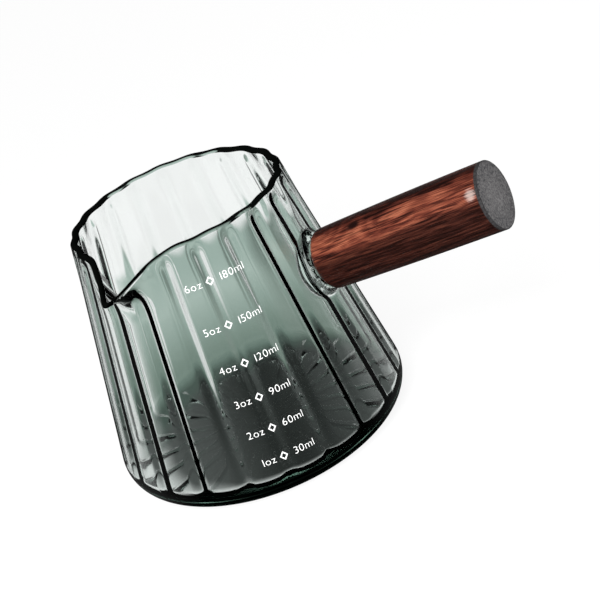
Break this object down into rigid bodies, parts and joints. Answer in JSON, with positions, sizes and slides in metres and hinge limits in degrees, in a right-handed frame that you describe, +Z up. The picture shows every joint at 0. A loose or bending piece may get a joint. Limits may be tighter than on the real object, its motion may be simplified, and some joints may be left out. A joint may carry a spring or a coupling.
{
  "type": "glass measuring cup",
  "caption": "Small tapered smoked-glass measuring cup with 20 flutes inside, a drawn-out pouring spout, printed volume marks and a screw-on turned wooden side handle.",
  "frame": {"origin": "middle of the flat base, on the surface that the cup stands on", "axes": "+Z up, +X towards the handle, the spout 7 degrees past -Y, away from the handle"},
  "size_m": [0.123, 0.0778, 0.07],
  "materials": {
    "smoked_glass": "clear smoky grey-green pressed glass, fire-polished",
    "silicone": "translucent grey silicone",
    "nylon": "moulded natural nylon",
    "rosewood": "oiled red-brown hardwood with dark streaks along the grain",
    "dark_disc": "matt dark grey speckled disc",
    "enamel_print": "fired white enamel print"
  },
  "bodies": {
    "cup": {"glass_body": "smoked_glass", "handle_boss": "smoked_glass", "scale_mark_1": "enamel_print", "scale_mark_2": "enamel_print", "scale_mark_3": "enamel_print", "scale_mark_4": "enamel_print", "scale_mark_5": "enamel_print", "scale_mark_6": "enamel_print"},
    "washer": {"seal_washer": "silicone"},
    "handle": {"wooden_handle": "rosewood", "thread_bush": "nylon", "end_cap": "dark_disc"}
  },
  "joints": [
    {"name": "handle_travel", "type": "slide", "parent": "cup", "child": "washer", "axis": [0.9781, 0, 0.2079], "range_m": [0, 0.0121]},
    {"name": "handle_turn", "type": "hinge", "parent": "washer", "child": "handle", "pos_m": [0.03204, 0, 0.0465], "axis": [0.9781, 0, 0.2079], "range_deg": [0, 1080]}
  ],
  "couplings": [
    {"joint": "handle_travel", "follows": "handle_turn", "m_per_rad": 0.00063662}
  ]
}
